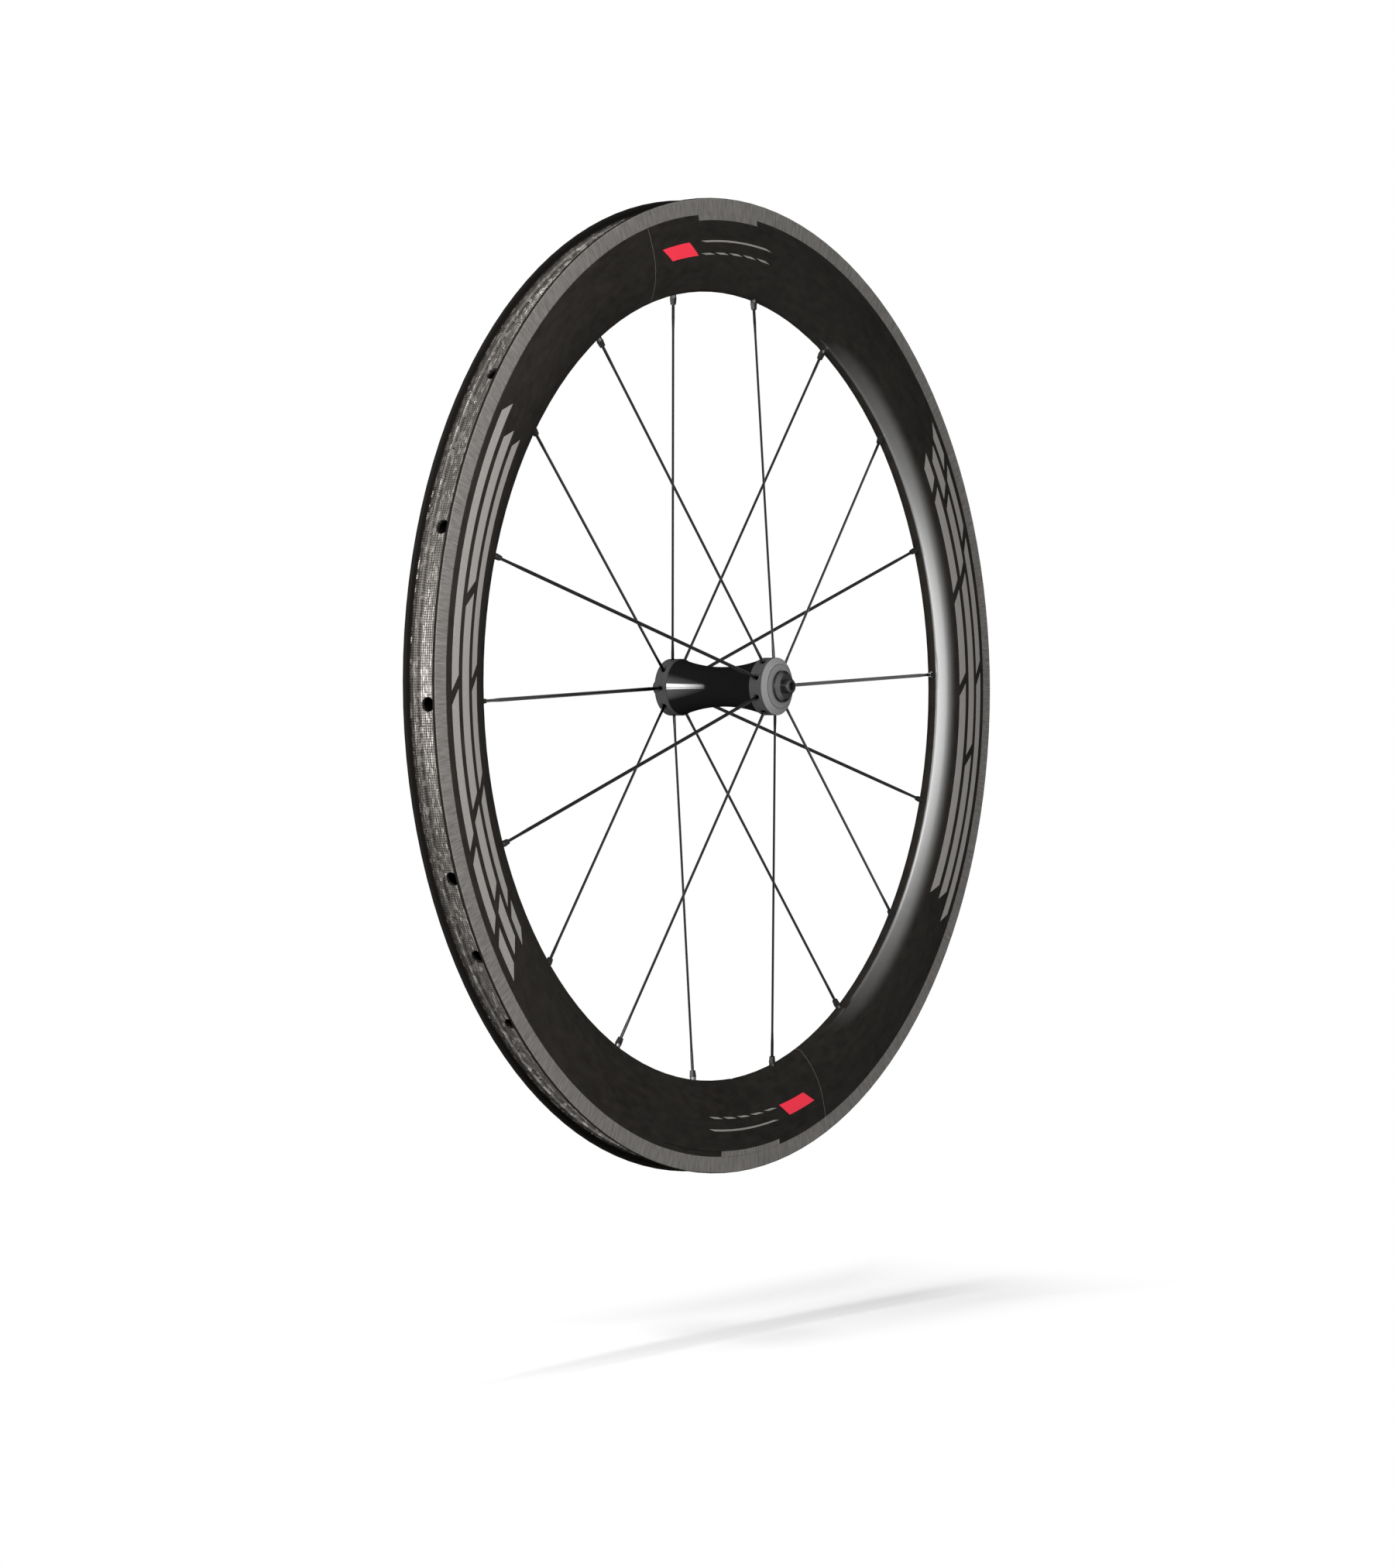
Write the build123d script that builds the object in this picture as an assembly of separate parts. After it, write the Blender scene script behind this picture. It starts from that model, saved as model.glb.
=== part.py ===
from build123d import *
import math
import os

# Front bicycle wheel: hollow deep rim, straight-pull bladed spokes and a hub on two sealed bearings.
# Millimetres. The origin is the wheel's centre, the wheel turns about Y, and +Z is up.

# Rim, as a tyre maker and a brake see it
bead_seat_diameter = 622.0
hook_height = 5.5
hook_drop = 2.6
hook_overhang = 0.6
lip_thickness = 2.6
bead_shelf = 3.6
well_depth = 3.4
well_width = 9.4
track_width = 24.8
track_height = 10.8
track_step = 0.3
track_tab_length = 67.0
track_tab_height = 3.6

# Rim body below the brake track
rim_depth = 59.6
rim_width = 27.0
widest_below_lip = 27.0
nose_round = 5.0
bed_wall = 2.4
track_wall = 3.0
side_wall = 1.8
nose_wall = 4.6

# Holes in the rim: the valve lies so many spoke spaces past the first spoke, and the vent so many before it
access_hole_diameter = 9.0
valve_hole_diameter = 6.5
spoke_count_to_valve = 13.5
vent_hole_diameter = 9.0
vent_spoke_count = 3

# Spokes
spoke_count = 18
first_spoke_angle = 2.5
spoke_offset_hub = 37.9
spoke_offset_rim = 0.7
spoke_end_diameter = 2.0
blade_width = 2.4
blade_thickness = 0.95
blade_taper = 9.0
neck_length = 8.5
plain_end_length = 9.0
spoke_head_diameter = 3.4
spoke_head_height = 1.7
spoke_head_lift = 0.5

# Nipples
nipple_outside = 6.1
nipple_flats = 3.2
nipple_tip_flats = 2.6
nipple_shank_diameter = 3.9
nipple_head_diameter = 5.8
nipple_head_height = 3.4
nipple_head_round = 0.8
nipple_shank_outside = 1.6

# Hub shell
over_locknut = 100.0
flange_wall = 5.7
flange_inner_face = 33.0
flange_outer_face = 42.1
waist_diameter = 26.0
waist_step = 0.45
shell_shoulder = 3.0
shell_end_face = 44.6
dust_cap_cover = 1.2
dust_cap_face = 45.3
dust_cap_lip = 1.0
exit_recess_diameter = 4.6
exit_recess_depth = 0.7

# Sealed bearings, with balls, races and cage as shares of the space from bore to outside
bearing_outside_diameter = 26.0
bearing_bore = 15.0
bearing_width = 7.0
bearing_inner_face = 36.9
ball_share = 0.636
ball_count = 11
race_share = 0.2545
cage_share = 0.236
cage_width = 4.8
seal_thickness = 0.5
seal_inset = 0.3

# Axle and end caps
axle_wall = 2.0
axle_shoulder = 0.9
axle_end_gap = 0.3
stub_diameter = 9.0
stub_length = 4.0
stub_chamfer = 0.4
skewer_bore = 5.2
cap_neck_wall = 1.5
cap_skirt_overhang = 1.2
cap_skirt_length = 2.0
drop_out_face_wall = 3.6
cap_plug_length = 8.0
o_ring_thickness = 0.9
o_ring_inset = 4.0

# Clearances
thread_clearance = 0.04
pocket_clearance = 0.25
hole_clearance = 0.15
spoke_bore_clearance = 0.3
press_clearance = 0.01
plug_clearance = 0.05
ball_clearance = 0.06
seal_lip_clearance = 0.15
running_gap = 0.4

# Worked out from the sizes above
bead_seat_radius = bead_seat_diameter / 2
rim_radius = bead_seat_radius + hook_height
nose_radius = rim_radius - rim_depth
widest_radius = rim_radius - widest_below_lip
well_radius = bead_seat_radius - well_depth
cavity_top_radius = well_radius - bed_wall
seat_radius = nose_radius + nose_wall
track_half = track_width / 2
track_foot = rim_radius - track_height
bearing_radius = bearing_outside_diameter / 2
journal_radius = bearing_bore / 2
bearing_section = bearing_radius - journal_radius
pitch_radius = (bearing_radius + journal_radius) / 2
ball_radius = ball_share * bearing_section / 2
race_thickness = race_share * bearing_section
cage_thickness = cage_share * bearing_section
flange_radius = bearing_radius + flange_wall
dust_cap_radius = bearing_radius + dust_cap_cover
axle_bore_radius = journal_radius - axle_wall
cap_neck_radius = journal_radius + cap_neck_wall
head_radius = bearing_radius + spoke_head_lift
spoke_hole_diameter = blade_width + 2 * spoke_bore_clearance
lean_per_radius = (spoke_offset_rim - spoke_offset_hub) / (nose_radius - flange_radius)
spoke_lean = math.atan(lean_per_radius)
bearing_outer_face = bearing_inner_face + bearing_width
nipple_tip_radius = nose_radius - nipple_outside * math.cos(spoke_lean)
cap_face = over_locknut / 2
sides = {"near": -1, "far": 1}


def spun(face):
    """Turn a section, drawn with x as the radius and y along the axle, right round the axle."""
    return revolve(face, Axis.Y)


def nose_and_flank(apex, nose_round, half):
    """Rounded nose from side to side, and the flank that runs on from it, tangent, to the widest place."""
    rise = widest_radius - apex - nose_round
    flank_round = (rise**2 + half**2 - nose_round**2) / (2 * (half - nose_round))
    lean = math.asin(rise / (flank_round - nose_round))
    joint = (apex + nose_round - nose_round * math.sin(lean), nose_round * math.cos(lean))
    nose = ThreePointArc((joint[0], -joint[1]), (apex, 0), joint)
    flank = TangentArc((widest_radius, half), joint, tangent=(-1, 0))
    return nose, flank


def section_face(nose, half):
    """Close a section from its nose and the half outline above it, which is mirrored to the other side."""
    return make_face([nose, *half, *[mirror(edge, Plane.XZ) for edge in half]])


def ring(inner_radius, outer_radius, start, end):
    """A plain ring round the axle."""
    section = make_face(Polyline(
        (inner_radius, start), (outer_radius, start), (outer_radius, end), (inner_radius, end), close=True))
    return spun(section)


def on_side(shape, side):
    """Put a shape that was drawn on the far side, +Y, on the named side."""
    return shape if sides[side] > 0 else mirror(shape, Plane.XZ)


def spoke_angle(place):
    """Angle of a spoke, or of a place between two spokes, from +X towards +Z."""
    return math.radians(first_spoke_angle + place * 360 / spoke_count)


def spoke_side(index):
    """Spokes go to the near and far flange by turns."""
    return -1 if index % 2 == 0 else 1


def spoke_plane(index, radius):
    """Plane across a spoke's centre line at a radius, with z outward and x round the wheel."""
    angle = spoke_angle(index)
    radial = Vector(math.cos(angle), 0, math.sin(angle))
    offset = spoke_offset_hub + (radius - flange_radius) * lean_per_radius
    sideways = Vector(0, spoke_side(index), 0)
    return Plane(
        origin=radial * radius + sideways * offset,
        x_dir=Vector(-math.sin(angle), 0, math.cos(angle)),
        z_dir=radial + sideways * lean_per_radius)


def radial_plane(place, radius):
    """Plane across a radius in the wheel's middle plane, with z outward."""
    angle = spoke_angle(place)
    radial = Vector(math.cos(angle), 0, math.sin(angle))
    return Plane(origin=radial * radius, x_dir=Vector(0, 1, 0), z_dir=radial)


def along_spoke(start_radius, end_radius):
    """Length along a spoke's centre line between two radii."""
    return (end_radius - start_radius) / math.cos(spoke_lean)


def peg(diameter, length):
    """A round peg that stands on its plane."""
    return Cylinder(diameter / 2, length, align=(Align.CENTER, Align.CENTER, Align.MIN))


def rim_face():
    """The rim's outline: nose, flank, brake track, hook and tyre bed."""
    half = rim_width / 2
    lip_round = lip_thickness / 2
    lip_foot = rim_radius - lip_round
    hook_half = track_half - lip_thickness
    hook_radius = rim_radius - hook_drop
    channel_half = hook_half + hook_overhang
    shelf_edge = channel_half - bead_shelf
    nose, flank = nose_and_flank(nose_radius, nose_round, half)
    shoulder = TangentArc((widest_radius, half), (track_foot, track_half + track_step), tangent=(1, 0))
    track = Polyline((track_foot, track_half + track_step), (track_foot, track_half), (lip_foot, track_half))
    lip = ThreePointArc(
        (lip_foot, track_half), (rim_radius, track_half - lip_round), (lip_foot, hook_half))
    bed = Polyline(
        (lip_foot, hook_half), (hook_radius, hook_half), (hook_radius - hook_overhang, channel_half),
        (bead_seat_radius, channel_half), (bead_seat_radius, shelf_edge), (well_radius, well_width / 2),
        (well_radius, 0))
    return section_face(nose, [flank, shoulder, *track.edges(), lip, *bed.edges()])


def cavity_face():
    """Outline of the hollow inside the rim."""
    half = rim_width / 2 - side_wall
    top_half = track_half - track_wall
    nose, flank = nose_and_flank(seat_radius, nose_round - side_wall, half)
    roof = Polyline((widest_radius, half), (cavity_top_radius, top_half), (cavity_top_radius, 0))
    return section_face(nose, [flank, *roof.edges()])


def track_tab(side, place):
    """The short stretch where the flat brake track reaches further down, as a cut in the rim's shoulder."""
    low = track_foot - track_tab_height
    turn = math.degrees(track_tab_length / track_foot)
    section = make_face(Polyline(
        (low, track_half), (track_foot, track_half), (track_foot, rim_width / 2), (low, rim_width / 2), close=True))
    tab = Rot(0, turn / 2 - math.degrees(spoke_angle(place)), 0) * revolve(section, Axis.Y, turn)
    return on_side(tab, side)


def rim():
    """The moulded rim: a hollow section turned round the axle, then drilled."""
    body = spun(rim_face()) - spun(cavity_face())
    seat_height = along_spoke(nose_radius - nose_wall, seat_radius)
    nipple_drill = peg(nipple_shank_diameter + 2 * hole_clearance, seat_height)
    nipple_drill += Pos(0, 0, seat_height) * peg(nipple_head_diameter + 2 * pocket_clearance, nipple_head_height)
    inside_radius = (seat_radius + cavity_top_radius) / 2
    for index in range(spoke_count):
        body -= spoke_plane(index, nose_radius - nose_wall) * nipple_drill
        body -= radial_plane(index, inside_radius) * peg(access_hole_diameter, rim_depth)
    for side in sides:
        body -= track_tab(side, spoke_count_to_valve)
        body -= track_tab(side, spoke_count_to_valve - spoke_count / 2)
    vent_place = spoke_count_to_valve - vent_spoke_count
    body -= radial_plane(vent_place, inside_radius) * peg(vent_hole_diameter, rim_depth)
    valve_start = radial_plane(spoke_count_to_valve, nose_radius - nose_wall)
    return body - valve_start * peg(valve_hole_diameter, 2 * rim_depth)


def spoke_body():
    """One straight-pull spoke along z: round head and neck, flat elliptical blade, round threaded end."""
    round_radius = spoke_end_diameter / 2
    total = along_spoke(head_radius, seat_radius + nipple_head_height / 2)
    neck_end = spoke_head_height + neck_length
    blade_start = neck_end + blade_taper
    plain_start = along_spoke(head_radius, nipple_tip_radius) - plain_end_length
    blade_end = plain_start - blade_taper
    blade = Ellipse(blade_width / 2, blade_thickness / 2)
    rod = Circle(round_radius)
    pieces = [
        peg(spoke_head_diameter, spoke_head_height),
        Pos(0, 0, spoke_head_height) * peg(spoke_end_diameter, neck_length),
        loft([Pos(0, 0, neck_end) * rod, Pos(0, 0, blade_start) * blade]),
        Pos(0, 0, blade_start) * extrude(blade, blade_end - blade_start),
        loft([Pos(0, 0, blade_end) * blade, Pos(0, 0, plain_start) * rod]),
        Pos(0, 0, plain_start) * peg(spoke_end_diameter, total - plain_start),
    ]
    return Part() + pieces


def nipple_body():
    """One nipple along z from its outer tip: tapered square drive, round shank, and a domed head on its seat."""
    shank_start = nipple_outside - nipple_shank_outside
    head_start = along_spoke(nipple_tip_radius, seat_radius)
    tip = Rectangle(nipple_tip_flats, nipple_tip_flats)
    drive = loft([tip, Pos(0, 0, shank_start) * Rectangle(nipple_flats, nipple_flats)])
    shank = Pos(0, 0, shank_start) * peg(nipple_shank_diameter, head_start - shank_start)
    head = Pos(0, 0, head_start) * peg(nipple_head_diameter, nipple_head_height)
    head = fillet(head.edges().sort_by(Axis.Z)[-1], nipple_head_round)
    bore = peg(spoke_end_diameter + 2 * thread_clearance, head_start + nipple_head_height)
    return drive + shank + head - bore


def hub_shell():
    """The hub shell: a waisted barrel between two spoke flanges, bored for the bearings and the spoke heads."""
    waist_end = flange_radius - waist_step
    seat = bearing_radius + press_clearance
    bore = bearing_radius - shell_shoulder
    waist = ThreePointArc(
        (waist_end, -flange_inner_face), (waist_diameter / 2, 0), (waist_end, flange_inner_face))
    flange = [
        (waist_end, flange_inner_face), (flange_radius, flange_inner_face), (flange_radius, flange_outer_face),
        (dust_cap_radius, shell_end_face), (dust_cap_radius, bearing_outer_face), (seat, bearing_outer_face),
        (seat, bearing_inner_face), (bore, bearing_inner_face), (bore, 0)]
    far = Polyline(*flange)
    near = mirror(far, Plane.XZ)
    body = spun(make_face([*waist.edges(), *far.edges(), *near.edges()]))
    drill_start = head_radius - 2 * spoke_head_lift
    pocket_depth = along_spoke(drill_start, head_radius) + spoke_head_height
    recess_start = along_spoke(drill_start, flange_radius - exit_recess_depth)
    spoke_drill = peg(spoke_head_diameter + 2 * pocket_clearance, pocket_depth)
    spoke_drill += Pos(0, 0, pocket_depth) * peg(spoke_hole_diameter, recess_start - pocket_depth)
    spoke_drill += Pos(0, 0, recess_start) * peg(exit_recess_diameter, flange_radius)
    for index in range(spoke_count):
        body -= spoke_plane(index, drill_start) * spoke_drill
    return body


def dust_cap():
    """The ring that closes the shell round the end cap, on the far side."""
    outer = dust_cap_radius - press_clearance
    inner = cap_neck_radius + running_gap
    lip = inner + dust_cap_lip
    section = make_face(Polyline(
        (inner, bearing_outer_face), (outer, bearing_outer_face), (outer, shell_end_face),
        (lip, dust_cap_face), (inner, dust_cap_face), close=True))
    return spun(section)


def bearing_middle():
    """Distance of a bearing's middle plane from the wheel's."""
    return bearing_inner_face + bearing_width / 2


def ball_groove(clearance):
    """The round track that the balls run in, as a ring of the balls' section."""
    return spun(Pos(pitch_radius, bearing_middle()) * Circle(ball_radius + clearance))


def outer_race():
    land = ring(bearing_radius - race_thickness, bearing_radius, bearing_inner_face, bearing_outer_face)
    return land - ball_groove(ball_clearance)


def inner_race():
    land = ring(journal_radius, journal_radius + race_thickness, bearing_inner_face, bearing_outer_face)
    return land - ball_groove(ball_clearance)


def ball_places():
    """Centres of the balls of the far bearing."""
    middle = Plane(origin=(0, bearing_middle(), 0), x_dir=(1, 0, 0), z_dir=(0, 1, 0))
    return [middle * place for place in PolarLocations(pitch_radius, ball_count)]


def balls():
    return [place * Sphere(ball_radius) for place in ball_places()]


def cage():
    """The ribbon that keeps the balls apart."""
    middle = bearing_middle()
    band = ring(
        pitch_radius - cage_thickness / 2, pitch_radius + cage_thickness / 2,
        middle - cage_width / 2, middle + cage_width / 2)
    pocket = Cylinder(ball_radius + ball_clearance, 2 * ball_radius, rotation=(0, 90, 0))
    return band - [place * pocket for place in ball_places()]


def bearing_seal(start):
    """A thin rubber shield that sits in the outer race and clears the inner one."""
    inner = journal_radius + race_thickness + seal_lip_clearance
    outer = bearing_radius - race_thickness - press_clearance
    return ring(inner, outer, start, start + seal_thickness)


def axle():
    """The hollow axle: a shoulder between the bearings and a journal at each end."""
    bore = axle_bore_radius
    journal = journal_radius - press_clearance
    shoulder = journal_radius + axle_shoulder
    end = bearing_outer_face - axle_end_gap
    section = make_face(Polyline(
        (bore, -end), (journal, -end), (journal, -bearing_inner_face), (shoulder, -bearing_inner_face),
        (shoulder, bearing_inner_face), (journal, bearing_inner_face), (journal, end), (bore, end), close=True))
    return spun(section)


def o_ring_place():
    """Distance of an end cap's seal from the wheel's middle plane."""
    return bearing_outer_face - o_ring_inset


def end_cap():
    """The far end cap: plug in the axle, shoulder on the bearing, tapered skirt and drop-out stub."""
    plug = axle_bore_radius - plug_clearance
    neck = cap_neck_radius
    skirt = neck + cap_skirt_overhang
    stub = stub_diameter / 2
    face_edge = stub + drop_out_face_wall
    bore = skewer_bore / 2
    plug_end = bearing_outer_face - cap_plug_length
    skirt_start = dust_cap_face + running_gap
    skirt_end = skirt_start + cap_skirt_length
    stub_end = cap_face + stub_length
    groove = plug - o_ring_thickness
    groove_start = o_ring_place() - o_ring_thickness / 2
    groove_end = o_ring_place() + o_ring_thickness / 2
    section = make_face(Polyline(
        (bore, plug_end), (plug, plug_end), (plug, groove_start), (groove, groove_start),
        (groove, groove_end), (plug, groove_end), (plug, bearing_outer_face), (neck, bearing_outer_face),
        (neck, skirt_start), (skirt, skirt_start), (skirt, skirt_end), (face_edge, cap_face),
        (stub, cap_face), (stub, stub_end - stub_chamfer), (stub - stub_chamfer, stub_end), (bore, stub_end),
        close=True))
    return spun(section)


def o_ring():
    """The rubber ring in an end cap's groove, which grips the axle's bore."""
    middle = axle_bore_radius - plug_clearance - o_ring_thickness / 2
    return spun(Pos(middle, o_ring_place()) * Circle(o_ring_thickness / 2))


def bearing_nodes(side):
    """Every piece of one sealed bearing."""
    return {
        f"bearing_outer_race_{side}": on_side(outer_race(), side),
        f"bearing_inner_race_{side}": on_side(inner_race(), side),
        f"bearing_balls_{side}": Compound([on_side(ball, side) for ball in balls()]),
        f"bearing_cage_{side}": on_side(cage(), side),
        f"bearing_inner_seal_{side}": on_side(bearing_seal(bearing_inner_face + seal_inset), side),
        f"bearing_outer_seal_{side}": on_side(
            bearing_seal(bearing_outer_face - seal_inset - seal_thickness), side),
    }


def wheel_nodes():
    """Every piece of the wheel by name."""
    nodes = {"rim": rim(), "hub_shell": hub_shell(), "axle": axle()}
    spoke = spoke_body()
    for index in range(spoke_count):
        nodes[f"spoke_{index + 1:02d}"] = spoke_plane(index, head_radius) * spoke
    nipple = nipple_body()
    nodes["spoke_nipples"] = Compound(
        [spoke_plane(index, nipple_tip_radius) * nipple for index in range(spoke_count)])
    for side in sides:
        nodes.update(bearing_nodes(side))
        nodes[f"dust_cap_{side}"] = on_side(dust_cap(), side)
        nodes[f"end_cap_{side}"] = on_side(end_cap(), side)
        nodes[f"end_cap_o_ring_{side}"] = on_side(o_ring(), side)
    return nodes


os.makedirs("parts", exist_ok=True)
for name, shape in wheel_nodes().items():
    export_step(shape, f"parts/{name}.step")
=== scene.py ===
import math

import bpy
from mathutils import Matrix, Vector

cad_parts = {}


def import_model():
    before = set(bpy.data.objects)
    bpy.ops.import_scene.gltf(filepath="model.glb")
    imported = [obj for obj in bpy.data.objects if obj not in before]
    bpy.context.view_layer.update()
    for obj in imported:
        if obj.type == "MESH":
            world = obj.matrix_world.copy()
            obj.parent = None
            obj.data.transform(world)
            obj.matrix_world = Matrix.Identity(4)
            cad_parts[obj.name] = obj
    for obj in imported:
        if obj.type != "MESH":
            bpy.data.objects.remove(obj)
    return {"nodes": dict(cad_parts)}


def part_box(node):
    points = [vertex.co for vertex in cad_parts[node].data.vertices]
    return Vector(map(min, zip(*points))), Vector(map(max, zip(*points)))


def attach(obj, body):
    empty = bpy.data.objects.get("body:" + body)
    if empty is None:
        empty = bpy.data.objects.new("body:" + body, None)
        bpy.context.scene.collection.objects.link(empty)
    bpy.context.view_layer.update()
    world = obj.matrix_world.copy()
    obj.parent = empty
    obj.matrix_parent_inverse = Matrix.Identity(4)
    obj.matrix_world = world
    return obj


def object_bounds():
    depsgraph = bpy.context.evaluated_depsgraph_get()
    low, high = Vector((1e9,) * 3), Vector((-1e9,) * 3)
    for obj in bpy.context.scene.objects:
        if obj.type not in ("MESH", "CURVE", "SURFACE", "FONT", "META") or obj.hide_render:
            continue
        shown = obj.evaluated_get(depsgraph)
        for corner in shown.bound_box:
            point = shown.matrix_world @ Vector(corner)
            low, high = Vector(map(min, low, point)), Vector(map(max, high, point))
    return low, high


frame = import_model()
cad_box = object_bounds()

# Rim, in metres, from the frame where it holds the size
rim_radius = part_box("rim")[1].z
rim_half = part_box("rim")[1].y
nose_radius = min(math.hypot(v.co.x, v.co.z) for v in frame["nodes"]["rim"].data.vertices)
nose_round = 0.005
widest_depth = 0.027
widest_radius = rim_radius - widest_depth
track_height = 0.0108
track_foot = rim_radius - track_height
track_half = 0.0124
track_step = 0.0003
bed_foot = track_foot + 0.0008
bed_top = 0.3113

# Where the finishes of the rim end, its tabs and its seams, in metres and radians
track_inner_half = track_half - 0.0004
lip_foot = bed_top + 0.0002
lip_edge = rim_radius - 0.0012
lip_edge_soft = 0.0003
nose_strip_half = 0.0030
nose_strip_soft = 0.0005
polish_end = 0.2685
polish_soft = 0.0045
tab_angle = math.radians(92.5)
tab_half_angle = math.radians(6.3)
tab_end_soft = 0.001
tab_depth = 0.0036
seam_angle = math.radians(109.5)
seam_half_angle = 0.0006

# Width of a tow in the tyre bed, in metres, and the bed's glints to the metre along X, Y and Z
tow = 0.0032
glints = (300.0, 1100.0, 300.0)

# Hub, in metres
flange_inner = 0.0330
flange_bevel = 0.0421
shell_bore_radius = 0.0126
cap_joint_inner = 0.01415
cap_joint_outer = 0.01450
cap_joint_soft = 0.00005

# Widths over which one finish passes into the next, in metres
fine_soft = 0.0001
mark_soft = 0.0002

# Shine: the specular level of dull surfaces, how strongly the coats mirror, and the share the flanks lack
dull = 0.06
coat_ior = 1.79
nose_coat_ior = 2.8
flank_coat_loss = 0.97

# Prints, in metres and degrees: each row of dashes has two radii and the dashes' lengths
print_proud = 0.00012
print_sunk = 0.00020
print_pitch = 0.002
dash_rows = (
    (0.2950, 0.3010, (34, 17, 9, 5)),
    (0.2850, 0.2915, (20, 24, 10, 6)),
    (0.2755, 0.2815, (30, 12, 14, 4)),
)
dash_gap = 1.6
dash_slant = 1.8
label_low = 0.2800
label_high = 0.2892
label_start = -10
label_dashes = 5
label_dash = 2
label_dash_pitch = 3.2
label_line = 0.0012
label_slant = 1.2
red_start = 7
red_end = 13
red_slant = 2.0

# Floor, in metres: how far it lies below the wheel, its size, and where its shadow fades out
floor_drop = 0.105
floor_half = 0.62
shadow_half_depth = 0.09
shadow_depth_soft = 0.05
shadow_half_width = 0.30
shadow_width_soft = 0.12

# Strength of the light: all round, where the background is seen, and added to the floor where it is seen
world_light = 0.30
white = 1.0
floor_lift = 0.1

# Camera, as fitted to the photograph
camera_azimuth = math.radians(-54.86)
camera_elevation = math.radians(0.661)
camera_distance = 2.71785
camera_right = -0.0173
camera_up = -0.06347
camera_lens = 95.5
camera_sensor = 36.0


class Look:
    """A short way to write one material's nodes."""

    def __init__(self, name):
        self.material = bpy.data.materials.new(name)
        self.material.use_nodes = True
        self.tree = self.material.node_tree
        self.bsdf = self.tree.nodes["Principled BSDF"]
        self.place = self.add("ShaderNodeTexCoord").outputs["Object"]
        self.split = self.add("ShaderNodeSeparateXYZ", Vector=self.place)

    def add(self, kind, settings=None, **inputs):
        """A node with its settings, and its inputs by name, as values or as other nodes' outputs."""
        node = self.tree.nodes.new(kind)
        for key, value in (settings or {}).items():
            setattr(node, key, value)
        for key, value in inputs.items():
            self.put(node.inputs[key.replace("_", " ")], value)
        return node

    def put(self, socket, value):
        """Set an input, or link it."""
        if isinstance(value, bpy.types.NodeSocket):
            self.tree.links.new(value, socket)
        else:
            socket.default_value = value

    def fill(self, node, *values):
        """Give a node's first inputs their values in order, and return its first output."""
        for socket, value in zip(node.inputs, values):
            self.put(socket, value)
        return node.outputs[0]

    def math(self, operation, *values):
        """One step of arithmetic."""
        return self.fill(self.add("ShaderNodeMath", {"operation": operation}), *values)

    def product(self, first, *others):
        """Several values multiplied."""
        for other in others:
            first = self.math("MULTIPLY", first, other)
        return first

    def largest(self, first, *others):
        """The largest of several values."""
        for other in others:
            first = self.math("MAXIMUM", first, other)
        return first

    def rest(self, value):
        """What a value leaves of 1."""
        return self.math("SUBTRACT", 1.0, value)

    def radius(self):
        """Distance from the axle."""
        x, z = self.split.outputs["X"], self.split.outputs["Z"]
        return self.math("SQRT", self.math("ADD", self.product(x, x), self.product(z, z)))

    def angle(self):
        """Angle round the axle from +X towards +Z."""
        return self.math("ARCTAN2", self.split.outputs["Z"], self.split.outputs["X"])

    def angle_from(self, mark):
        """Angle to the nearer of two marks that are half a turn apart."""
        return self.math("PINGPONG", self.math("SUBTRACT", self.angle(), mark), math.pi / 2)

    def across(self):
        """Distance from the wheel's middle plane."""
        return self.math("ABSOLUTE", self.split.outputs["Y"])

    def above(self, value, edge, soft):
        """0 below the edge and 1 above it, with a soft width on either side."""
        node = self.add("ShaderNodeMapRange", {"interpolation_type": "SMOOTHSTEP"})
        return self.fill(node, value, edge - soft, edge + soft, 0.0, 1.0)

    def below(self, value, edge, soft):
        """1 below the edge and 0 above it."""
        return self.rest(self.above(value, edge, soft))

    def band(self, value, low, high, soft):
        """1 between two edges."""
        return self.product(self.above(value, low, soft), self.below(value, high, soft))

    def noise(self, scale, detail=4.0):
        """Plain noise in the piece's own space."""
        return self.add("ShaderNodeTexNoise", Vector=self.place, Scale=scale, Detail=detail).outputs["Fac"]

    def round_noise(self, along, inward, sideways, detail=3.0):
        """Noise that runs round the axle with no seam: how many waves a metre along, inward and sideways."""
        radius = self.radius()
        vector = self.add("ShaderNodeCombineXYZ", Y=self.product(radius, inward))
        for name in "XZ":
            unit = self.math("DIVIDE", self.split.outputs[name], radius)
            self.put(vector.inputs[name], self.product(unit, along * rim_radius))
        noise = self.add("ShaderNodeTexNoise", {"noise_dimensions": "4D"}, Vector=vector.outputs[0],
                         W=self.product(self.split.outputs["Y"], sideways), Scale=1.0, Detail=detail)
        return noise.outputs["Fac"]

    def lathe_marks(self, scale, slope):
        """Fine rings from the lathe: how many a metre, and how far they follow the radius."""
        place = self.math("ADD", self.split.outputs["Y"], self.product(self.radius(), slope))
        noise = self.add("ShaderNodeTexNoise", {"noise_dimensions": "1D"}, W=place, Scale=scale, Detail=2.0)
        return noise.outputs["Fac"]

    def spread(self, noise, low=0.0, high=1.0):
        """The middle range of a noise stretched between two numbers."""
        middle_low, middle_high = 0.3, 0.7
        return self.fill(self.add("ShaderNodeMapRange"), noise, middle_low, middle_high, low, high)

    def uneven(self, noise, value, share):
        """A number that a noise raises and lowers by a share of it."""
        return self.spread(noise, value * (1 - share), value * (1 + share))

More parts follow.
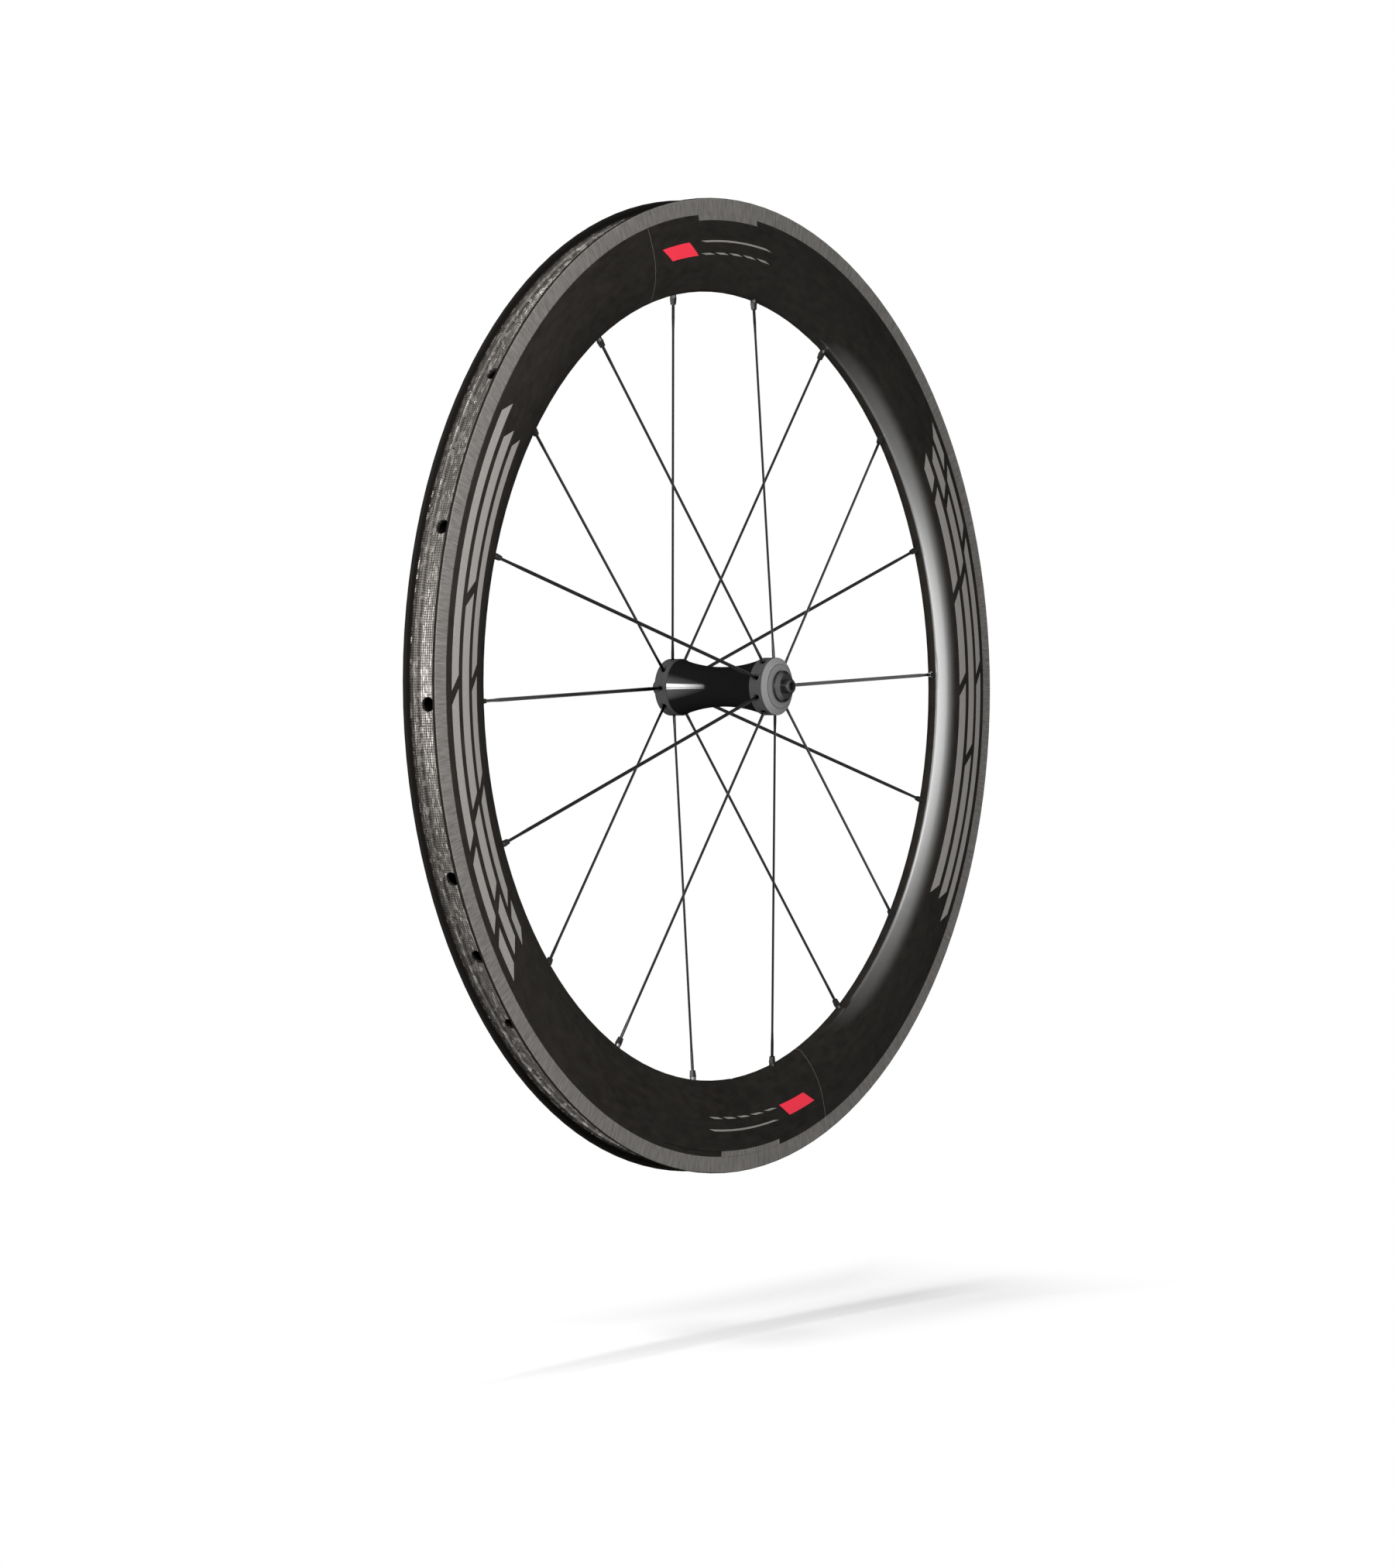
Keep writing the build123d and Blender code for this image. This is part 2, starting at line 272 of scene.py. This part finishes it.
    def mix(self, factor, first, second):
        """Colour between two colours, which are a Mix node's inputs 6 and 7 and its output 2."""
        node = self.add("ShaderNodeMix", {"data_type": "RGBA"}, Factor=factor)
        self.put(node.inputs[6], first)
        self.put(node.inputs[7], second)
        return node.outputs[2]

    def mix_value(self, factor, first, second):
        """Number between two numbers, which are a Mix node's inputs 2 and 3 and its output 0."""
        node = self.add("ShaderNodeMix", Factor=factor)
        self.put(node.inputs[2], first)
        self.put(node.inputs[3], second)
        return node.outputs[0]

    def gloss(self, full, gone):
        """Weight of a glossy coat that fades from where the surface faces the eye to where it turns away."""
        turned = self.add("ShaderNodeLayerWeight", Blend=0.5).outputs["Facing"]
        return self.fill(self.add("ShaderNodeMapRange"), turned, full, gone, 1.0, 0.0)

    def bump(self, height, depth, strength):
        """Fine relief of a given depth in metres."""
        node = self.add("ShaderNodeBump", Height=height, Distance=depth, Strength=strength)
        self.put(self.bsdf.inputs["Normal"], node.outputs[0])

    def finish(self, **inputs):
        """Set the surface's own inputs."""
        for key, value in inputs.items():
            self.put(self.bsdf.inputs[key.replace("_", " ")], value)
        return self.material


def grey(value, warmth=0.0):
    """A grey, a little warm or cool."""
    return (value * (1 + warmth), value, value * (1 - warmth), 1.0)


def rim_body(look, streaks):
    """Near-black body with faint streaks and patches, and two fine seams."""
    colour = look.mix(look.spread(streaks), grey(0.0086, 0.11), grey(0.0143, 0.11))
    patches = look.spread(look.noise(scale=9.0), high=0.35)
    colour = look.mix(patches, colour, grey(0.0171, 0.09))
    seam = look.below(look.angle_from(seam_angle), seam_half_angle, seam_half_angle / 2)
    return look.mix(seam, colour, grey(0.095, 0.06))


def brake_track(look, outside):
    """1 on the brake tracks and on their tabs."""
    radius = look.radius()
    tab = look.product(look.below(look.angle_from(tab_angle), tab_half_angle, tab_end_soft),
                       look.above(radius, track_foot - tab_depth, mark_soft))
    return look.product(look.largest(look.above(radius, track_foot, mark_soft), tab), outside)


def bed_weave(look):
    """Height of the crossed tows in the tyre bed, from 0 to 1."""
    waves = float(round(2 * math.pi * rim_radius / tow))
    along = look.product(look.angle(), waves)
    sideways = look.product(look.split.outputs["Y"], 2 * math.pi / tow)
    crossed = look.product(look.math("SINE", look.math("ADD", along, sideways)),
                           look.math("SINE", look.math("SUBTRACT", along, sideways)))
    return look.math("MULTIPLY_ADD", crossed, 0.5, 0.5)


def bed_glints(look):
    """A number from 0 to 1 for each small cell of the tyre bed. The cells are narrow across the rim."""
    scaled = look.fill(look.add("ShaderNodeVectorMath", {"operation": "MULTIPLY"}), look.place, glints)
    cells = look.add("ShaderNodeTexVoronoi", Vector=scaled, Scale=1.0)
    return look.add("ShaderNodeSeparateColor", Color=cells.outputs["Color"]).outputs[0]


def bed_colour(look, weave, glint):
    """Dark resin with brighter tows, and a few cells that glint."""
    weave_share, glint_share, glint_power = 0.4, 0.6, 4.0
    sparkle = look.product(look.math("POWER", glint, glint_power), glint_share)
    sparkle = look.math("MULTIPLY_ADD", weave, weave_share, sparkle)
    return look.mix(sparkle, grey(0.007, 0.07), grey(0.42, 0.07))


def carbon_rim():
    """Carbon body with a glossy nose, lighter brake tracks with cross marks, black lips and hook walls
    darkened further as painted shade, and a woven bed.
    """
    look = Look("rim_carbon")
    radius, across = look.radius(), look.across()
    streaks = look.round_noise(along=90, inward=260, sideways=120)
    cross_marks = look.round_noise(along=1500, inward=110, sideways=400, detail=2.0)
    weave = bed_weave(look)
    glint = bed_glints(look)

    outside = look.above(across, track_inner_half, mark_soft)
    inside = look.rest(outside)
    track = brake_track(look, outside)
    bed = look.product(look.band(radius, bed_foot, bed_top, fine_soft), inside)
    lip = look.product(inside, look.above(radius, lip_foot, mark_soft))

    track_colour = look.mix(look.spread(cross_marks), grey(0.066, 0.05), grey(0.126, 0.05))
    # Lips and inner hook walls: black carbon, painted darker than the body as painted shade of the channel
    # under the hooks
    lip_black_and_painted_shade = grey(0.0076, 0.10)
    colour = look.mix(track, rim_body(look, streaks), track_colour)
    colour = look.mix(bed, colour, bed_colour(look, weave, glint))
    colour = look.mix(lip, colour, lip_black_and_painted_shade)

    track_rough = 0.55
    bed_rough = look.mix_value(glint, 0.38, 0.22)
    rough = look.mix_value(track, look.spread(streaks, 0.25, 0.29), track_rough)
    rough = look.mix_value(bed, rough, bed_rough)

    glint_height, streak_height = 0.4, 0.01
    bed_relief = look.product(bed, look.math("MULTIPLY_ADD", glint, glint_height, weave))
    relief = look.math("ADD", look.product(track, cross_marks), bed_relief)
    relief = look.math("ADD", relief, look.product(streaks, streak_height))
    look.bump(relief, depth=0.00010, strength=0.8)

    bed_metal, nose_rough = 0.75, 0.27
    nose_strip = look.below(across, nose_strip_half, nose_strip_soft)
    matt = look.largest(lip, nose_strip, look.above(radius, lip_edge, lip_edge_soft), track)
    polish = look.rest(look.product(look.above(radius, polish_end, polish_soft), flank_coat_loss))
    coat = look.product(look.gloss(full=0.08, gone=0.30), polish, look.rest(matt))
    look.finish(Coat_Weight=coat, Coat_Roughness=nose_rough, Coat_IOR=nose_coat_ior)
    return look.finish(Base_Color=colour, Roughness=rough, Metallic=look.product(bed, bed_metal),
                       Specular_IOR_Level=0.0)


def hub_alloy():
    """Glossy black waist, satin grey flanges with turning marks, and a brighter bevelled end."""
    look = Look("hub_alloy")
    across, radius = look.across(), look.radius()
    marks = look.lathe_marks(scale=5200.0, slope=0.7)
    flange = look.above(across, flange_inner - fine_soft, fine_soft)
    bevel = look.above(across, flange_bevel + fine_soft, fine_soft)
    bore = look.below(radius, shell_bore_radius, fine_soft)
    joint = look.product(bevel, look.band(radius, cap_joint_inner, cap_joint_outer, cap_joint_soft))
    waist_colour = grey(0.005)
    flange_colour = look.mix(look.spread(marks), grey(0.027), grey(0.048))
    bevel_colour = look.mix(look.spread(marks), grey(0.114), grey(0.171))
    colour = look.mix(flange, waist_colour, flange_colour)
    colour = look.mix(bevel, colour, bevel_colour)
    colour = look.mix(look.largest(bore, joint), colour, grey(0.023))
    waist_rough = 0.08
    rough = look.mix_value(flange, waist_rough, look.spread(marks, 0.40, 0.55))
    look.bump(look.product(flange, marks), depth=0.00005, strength=0.6)
    coat = look.product(look.gloss(full=0.06, gone=0.16), look.rest(flange))
    return look.finish(Base_Color=colour, Roughness=rough, Specular_IOR_Level=0.0,
                       Coat_Weight=coat, Coat_Roughness=waist_rough, Coat_IOR=coat_ior)


def turned_alloy(name, dark, light, roughness, metallic=0.0, fade=None):
    """Anodised alloy with fine rings from the lathe. Where a fade is given, it has a glossy coat."""
    look = Look(name)
    marks = look.lathe_marks(scale=4200.0, slope=1.0)
    colour = look.mix(look.spread(marks), grey(dark), grey(light))
    look.bump(marks, depth=0.00003, strength=0.5)
    rough = look.uneven(marks, roughness, share=0.2)
    if fade:
        look.finish(Specular_IOR_Level=0.0, Coat_Weight=look.gloss(*fade),
                    Coat_Roughness=roughness, Coat_IOR=coat_ior)
    else:
        look.finish(Specular_IOR_Level=dull)
    return look.finish(Base_Color=colour, Roughness=rough, Metallic=metallic)


def coated_steel():
    """Dark coated steel wire with a fine grain."""
    look = Look("spoke_steel")
    grain = look.noise(scale=700.0, detail=3.0)
    colour = look.mix(look.spread(grain), grey(0.012), grey(0.022))
    return look.finish(Base_Color=colour, Roughness=look.spread(grain, 0.14, 0.20), Metallic=1.0)


def speckled(name, dark, light, roughness, scale, metallic=0.0):
    """A plain surface with a fine speckle."""
    look = Look(name)
    grain = look.noise(scale)
    colour = look.mix(look.spread(grain), dark, light)
    look.bump(grain, depth=0.00003, strength=0.5)
    rough = look.uneven(grain, roughness, share=0.15)
    return look.finish(Base_Color=colour, Roughness=rough, Metallic=metallic, Specular_IOR_Level=dull)


def dress(material, *names):
    """Give CAD nodes a material."""
    for name in names:
        mesh = frame["nodes"][name].data
        mesh.materials.clear()
        mesh.materials.append(material)


def both(name):
    """The near and far node of a pair."""
    return [f"{name}_near", f"{name}_far"]


def dress_nodes():
    """Give every CAD node the material of the real piece."""
    spokes = [name for name in frame["nodes"] if name.startswith("spoke_") and name != "spoke_nipples"]
    nipple = turned_alloy("nipple_alloy", dark=0.011, light=0.023, roughness=0.30, fade=(0.08, 0.30))
    end_cap = turned_alloy("end_cap_alloy", dark=0.008, light=0.015, roughness=0.14, fade=(0.15, 0.50))
    dust_cap = turned_alloy("dust_cap_alloy", dark=0.095, light=0.137, roughness=0.40)
    axle = turned_alloy("axle_alloy", dark=0.45, light=0.60, roughness=0.35, metallic=1.0)
    steel = speckled("bearing_steel", grey(0.40), grey(0.55), roughness=0.25, scale=900.0, metallic=1.0)
    plastic = speckled("cage_plastic", grey(0.10, 0.5), grey(0.16, 0.5), roughness=0.5, scale=1200.0)
    rubber = speckled("seal_rubber", grey(0.010), grey(0.022), roughness=0.6, scale=1500.0)
    dress(carbon_rim(), "rim")
    dress(hub_alloy(), "hub_shell")
    dress(coated_steel(), *spokes)
    dress(nipple, "spoke_nipples")
    dress(end_cap, *both("end_cap"))
    dress(dust_cap, *both("dust_cap"))
    dress(axle, "axle")
    dress(steel, *both("bearing_outer_race"), *both("bearing_inner_race"), *both("bearing_balls"))
    dress(plastic, *both("bearing_cage"))
    dress(rubber, *both("bearing_inner_seal"), *both("bearing_outer_seal"), *both("end_cap_o_ring"))


def flank_half(radius):
    """Half the rim's width at a radius on its flank or shoulder."""
    if radius >= widest_radius:
        fall = rim_half - (track_half + track_step)
        run = track_foot - widest_radius
        curve = (run**2 + fall**2) / (2 * fall)
    else:
        rise = widest_radius - nose_radius - nose_round
        curve = (rise**2 + rim_half**2 - nose_round**2) / (2 * (rim_half - nose_round))
    return rim_half - curve + math.sqrt(curve**2 - (radius - widest_radius) ** 2)


def bar_film(bar, side, first):
    """Points and faces of one bar: an upper and an under skin along the flank, closed round the edge."""
    start, end, low, high, slant = bar
    steps_round = max(2, math.ceil(math.radians(abs(end - start)) * high / print_pitch))
    steps_in = max(2, math.ceil((high - low) / print_pitch))
    row = steps_round + 1
    count = row * (steps_in + 1)
    verts, faces = [], []
    for lift in (print_proud, -print_sunk):
        for i in range(steps_in + 1):
            share = i / steps_in
            radius = low + (high - low) * share
            y = side * (flank_half(radius) + lift)
            for j in range(row):
                angle = math.radians(start + (end - start) * j / steps_round + slant * (share - 0.5))
                verts.append((radius * math.cos(angle), y, radius * math.sin(angle)))
    for i in range(steps_in):
        for j in range(steps_round):
            corner = first + i * row + j
            top = (corner, corner + 1, corner + row + 1, corner + row)
            under = tuple(v + count for v in reversed(top))
            faces += [top, under]
    edge = [first + j for j in range(row)]
    edge += [first + i * row + row - 1 for i in range(1, steps_in + 1)]
    edge += [first + steps_in * row + j for j in range(row - 2, -1, -1)]
    edge += [first + i * row for i in range(steps_in - 1, 0, -1)]
    for here, ahead in zip(edge, edge[1:] + edge[:1]):
        faces.append((ahead, here, here + count, ahead + count))
    return verts, faces


def film(name, material, bars, side):
    """Thin printed bars on a flank. Each has a start and end angle, two radii and a slant."""
    verts, faces = [], []
    for bar in bars:
        bar_verts, bar_faces = bar_film(bar, side, len(verts))
        verts += bar_verts
        faces += bar_faces
    if side > 0:
        faces = [tuple(reversed(face)) for face in faces]
    mesh = bpy.data.meshes.new(name)
    mesh.from_pydata(verts, [], faces)
    mesh.validate()
    mesh.materials.append(material)
    piece = bpy.data.objects.new(name, mesh)
    bpy.context.scene.collection.objects.link(piece)
    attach(piece, "wheel")


def flank_bars(middle):
    """Rows of slanted dashes of uneven length, about a middle angle."""
    bars = []
    for low, high, lengths in dash_rows:
        start = middle - (sum(lengths) + dash_gap * (len(lengths) - 1)) / 2
        for length in lengths:
            bars.append((start, start + length, low, high, dash_slant))
            start += length + dash_gap
    return bars


def label_bars(middle):
    """A row of short thin dashes with a thin line outside it, and a red bar beside them."""
    start = middle + label_start
    thin = []
    for k in range(label_dashes):
        dash_start = start + label_dash_pitch * k
        dash_end = dash_start + label_dash
        thin.append((dash_start, dash_end, label_low, label_low + label_line, label_slant))
    thin.append((start, dash_end, label_high - label_line, label_high, label_slant))
    red = [(middle + red_start, middle + red_end, label_low, label_high, red_slant)]
    return thin, red


def decals():
    """Plain prints on both flanks: dashes at the two sides, and labels at the top and bottom."""
    print_grey = speckled("print_grey", grey(0.128, 0.05), grey(0.168, 0.05), roughness=0.45, scale=1400.0)
    dark_red, light_red = (0.53, 0.020, 0.039, 1), (0.61, 0.026, 0.051, 1)
    print_red = speckled("print_red", dark_red, light_red, roughness=0.45, scale=1400.0)
    for side, side_name in ((-1, "near"), (1, "far")):
        for middle, place in ((2.5, "right"), (181.0, "left")):
            film(f"flank_print_{place}_{side_name}", print_grey, flank_bars(middle), side)
        for middle, place in ((93.5, "top"), (273.5, "bottom")):
            thin, red = label_bars(middle)
            film(f"label_grey_{place}_{side_name}", print_grey, thin, side)
            film(f"label_red_{place}_{side_name}", print_red, red, side)


def camera():
    """The camera, where it stood for the photograph."""
    back = Vector((math.sin(camera_azimuth) * math.cos(camera_elevation),
                   -math.cos(camera_azimuth) * math.cos(camera_elevation), math.sin(camera_elevation)))
    right = Vector((math.cos(camera_azimuth), math.sin(camera_azimuth), 0))
    up = back.cross(right)
    data = bpy.data.cameras.new("camera")
    data.lens = camera_lens
    data.sensor_width = camera_sensor
    made = bpy.data.objects.new("camera", data)
    made.location = back * camera_distance + right * camera_right + up * camera_up
    made.rotation_mode = "QUATERNION"
    made.rotation_quaternion = (-back).to_track_quat("-Z", "Y")
    bpy.context.scene.collection.objects.link(made)
    bpy.context.scene.camera = made


def lamp(name, place, size, power):
    """A soft lamp that points at the wheel's centre and isn't itself in the picture."""
    data = bpy.data.lights.new(name, "AREA")
    data.shape = "RECTANGLE"
    data.size, data.size_y = size
    data.energy = power
    made = bpy.data.objects.new(name, data)
    made.location = place
    made.rotation_mode = "QUATERNION"
    made.rotation_quaternion = (-Vector(place)).to_track_quat("-Z", "Y")
    made.visible_camera = False
    bpy.context.scene.collection.objects.link(made)


def lamps():
    """The lamps round the wheel, with their sizes in metres and powers in watts."""
    lamp("lamp_main", place=(-2.10, 0.43, 0.10), size=(1.3, 0.80), power=46)
    lamp("lamp_front", place=(-0.22, -2.60, 0.30), size=(1.35, 3.1), power=42)
    lamp("lamp_left", place=(-0.75, -0.45, 0.25), size=(0.35, 0.35), power=9.0)
    lamp("lamp_back", place=(1.4, 2.2, 1.0), size=(1.2, 1.2), power=12)
    lamp("lamp_top", place=(0.0, 0.1, 2.2), size=(0.4, 0.3), power=27)


def seen_directly(tree):
    """1 for rays that show the background: from the camera, in a reflection or through glass."""
    path = tree.nodes.new("ShaderNodeLightPath")
    total = path.outputs["Is Camera Ray"]
    for name in ("Is Glossy Ray", "Is Transmission Ray"):
        node = tree.nodes.new("ShaderNodeMath")
        node.operation = "MAXIMUM"
        tree.links.new(total, node.inputs[0])
        tree.links.new(path.outputs[name], node.inputs[1])
        total = node.outputs[0]
    return total


def world():
    """Even light all round, shown as plain white where it is seen."""
    made = bpy.data.worlds.new("studio")
    bpy.context.scene.world = made
    made.use_nodes = True
    tree = made.node_tree
    light = tree.nodes["Background"]
    light.inputs["Color"].default_value = grey(1.0)
    light.inputs["Strength"].default_value = world_light
    shown = tree.nodes.new("ShaderNodeBackground")
    shown.inputs["Color"].default_value = grey(1.0)
    shown.inputs["Strength"].default_value = white
    mix = tree.nodes.new("ShaderNodeMixShader")
    tree.links.new(seen_directly(tree), mix.inputs[0])
    tree.links.new(light.outputs[0], mix.inputs[1])
    tree.links.new(shown.outputs[0], mix.inputs[2])
    tree.links.new(mix.outputs[0], tree.nodes["World Output"].inputs["Surface"])


def floor_finish():
    """A pale floor that keeps the shadow near the wheel and is plain white further off."""
    look = Look("floor")
    look.finish(Base_Color=grey(0.64), Roughness=0.9, Specular_IOR_Level=0.0)
    seen = seen_directly(look.tree)
    lift = look.add("ShaderNodeEmission", Color=grey(1.0), Strength=look.product(seen, floor_lift))
    glow = look.add("ShaderNodeEmission", Color=grey(1.0), Strength=white)
    near = look.fill(look.add("ShaderNodeAddShader"), look.bsdf.outputs[0], lift.outputs[0])
    beside = look.above(look.across(), shadow_half_depth, shadow_depth_soft)
    beyond = look.above(look.math("ABSOLUTE", look.split.outputs["X"]), shadow_half_width, shadow_width_soft)
    away = look.product(seen, look.largest(beside, beyond))
    shown = look.fill(look.add("ShaderNodeMixShader"), away, near, glow.outputs[0])
    look.put(look.tree.nodes["Material Output"].inputs["Surface"], shown)
    return look.material


def floor():
    """The floor below the wheel."""
    half = floor_half
    level = cad_box[0].z - floor_drop
    corners = [(-half, -half, level), (half, -half, level), (half, half, level), (-half, half, level)]
    mesh = bpy.data.meshes.new("floor")
    mesh.from_pydata(corners, [], [(0, 1, 2, 3)])
    mesh.materials.append(floor_finish())
    made = bpy.data.objects.new("floor", mesh)
    bpy.context.scene.collection.objects.link(made)


camera()
dress_nodes()
decals()
lamps()
world()
floor()
bpy.context.scene.view_settings.view_transform = "Standard"
